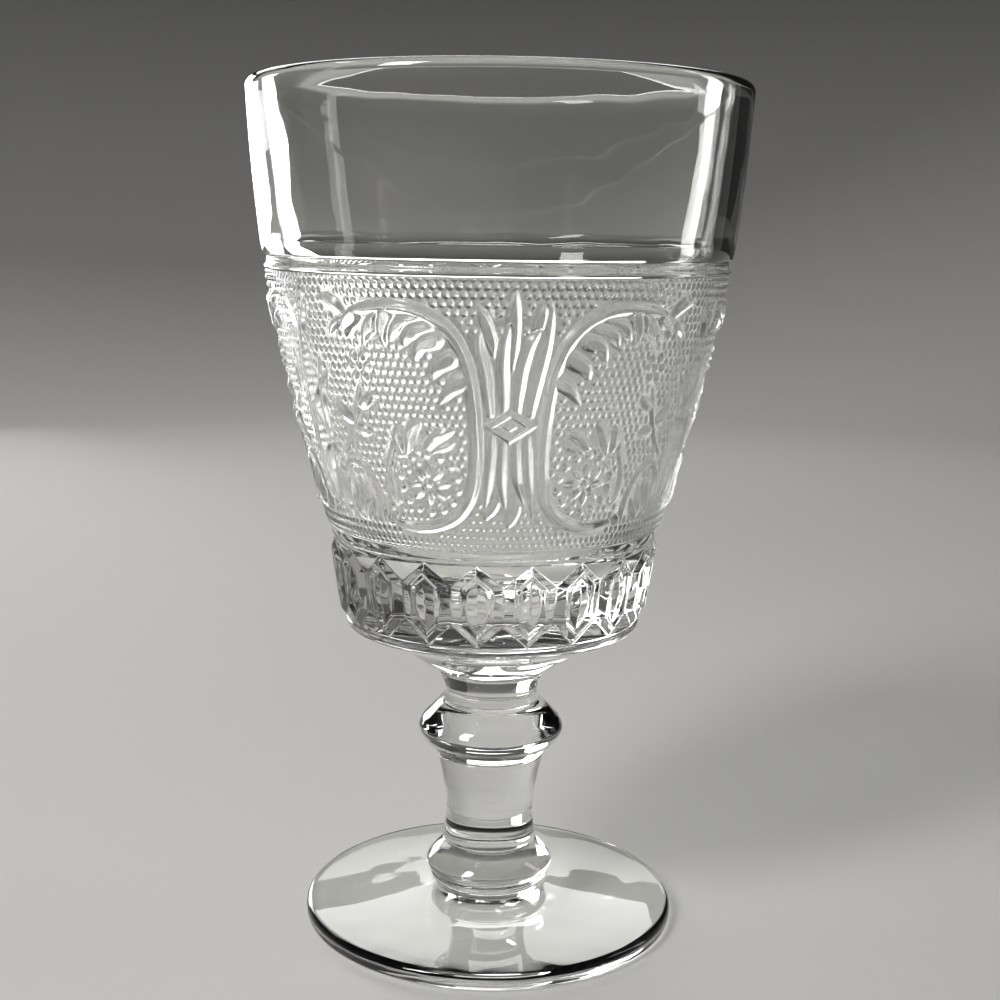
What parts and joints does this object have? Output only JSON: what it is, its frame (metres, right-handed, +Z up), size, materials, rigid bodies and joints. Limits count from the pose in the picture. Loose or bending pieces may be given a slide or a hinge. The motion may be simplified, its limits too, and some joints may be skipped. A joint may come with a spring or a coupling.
{
  "type": "water goblet",
  "caption": "Stemmed water goblet of clear pressed glass: tapered bowl with a plain rim, a lacy relief band and a diamond band, on a knopped stem and a round foot.",
  "frame": {"origin": "centre of the ring that the foot stands on, at table level", "axes": "+Z up along the stem; -Y is the side where one sheaf of the pressed ornament faces straight out"},
  "size_m": [0.0878, 0.0878, 0.152],
  "materials": {
    "clear_glass": "clear pressed glass, fire-polished on the plain parts, stippled between the raised ornament"
  },
  "bodies": {
    "root": {"foot": "clear_glass", "base_collar": "clear_glass", "shank": "clear_glass", "knop": "clear_glass", "neck": "clear_glass", "bowl": "clear_glass"}
  },
  "joints": []
}
